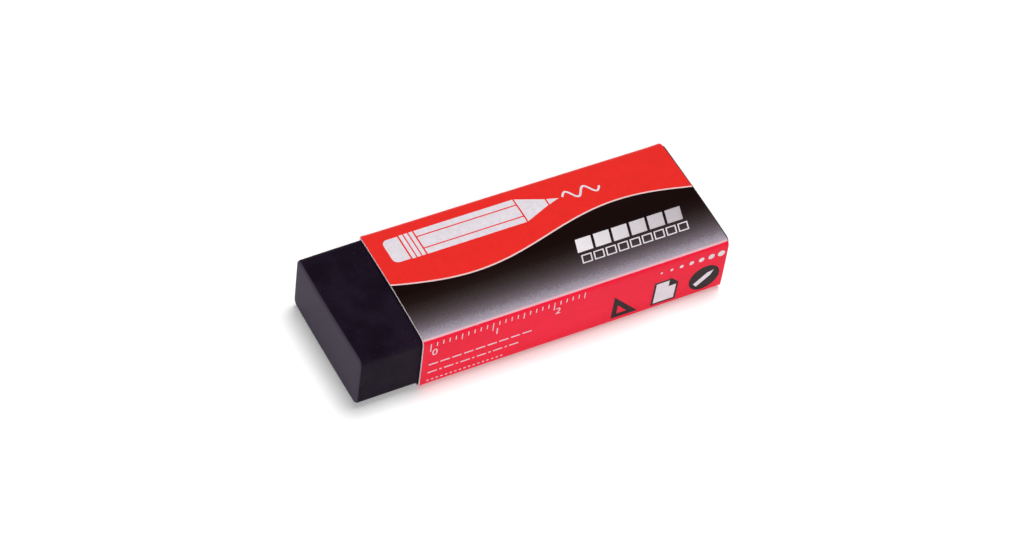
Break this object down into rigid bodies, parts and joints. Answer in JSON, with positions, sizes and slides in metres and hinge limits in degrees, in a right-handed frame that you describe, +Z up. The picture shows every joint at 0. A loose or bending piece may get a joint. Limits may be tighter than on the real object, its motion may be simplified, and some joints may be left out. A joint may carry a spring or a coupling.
{
  "type": "eraser",
  "caption": "Block eraser of black rubber in a red and black printed card sleeve, open at both ends, that slides along the block.",
  "frame": {"origin": "centre of the footprint, on the surface that the eraser lies on, under the sleeve's bottom panel", "axes": "+X along the block, from its bare nose to its tail; +Y across, from the front to the back; +Z up, through the sleeve's top panel"},
  "size_m": [0.0604, 0.0216, 0.0109],
  "materials": {
    "black_rubber": "matte",
    "printed_card": "satin"
  },
  "bodies": {
    "block": {"eraser_block": "black_rubber"},
    "sleeve": {"card_sleeve": "printed_card"}
  },
  "joints": [
    {"name": "sleeve_slide", "type": "slide", "parent": "block", "child": "sleeve", "axis": [1, 0, 0], "range_m": [-0.0098, 0.055]}
  ]
}
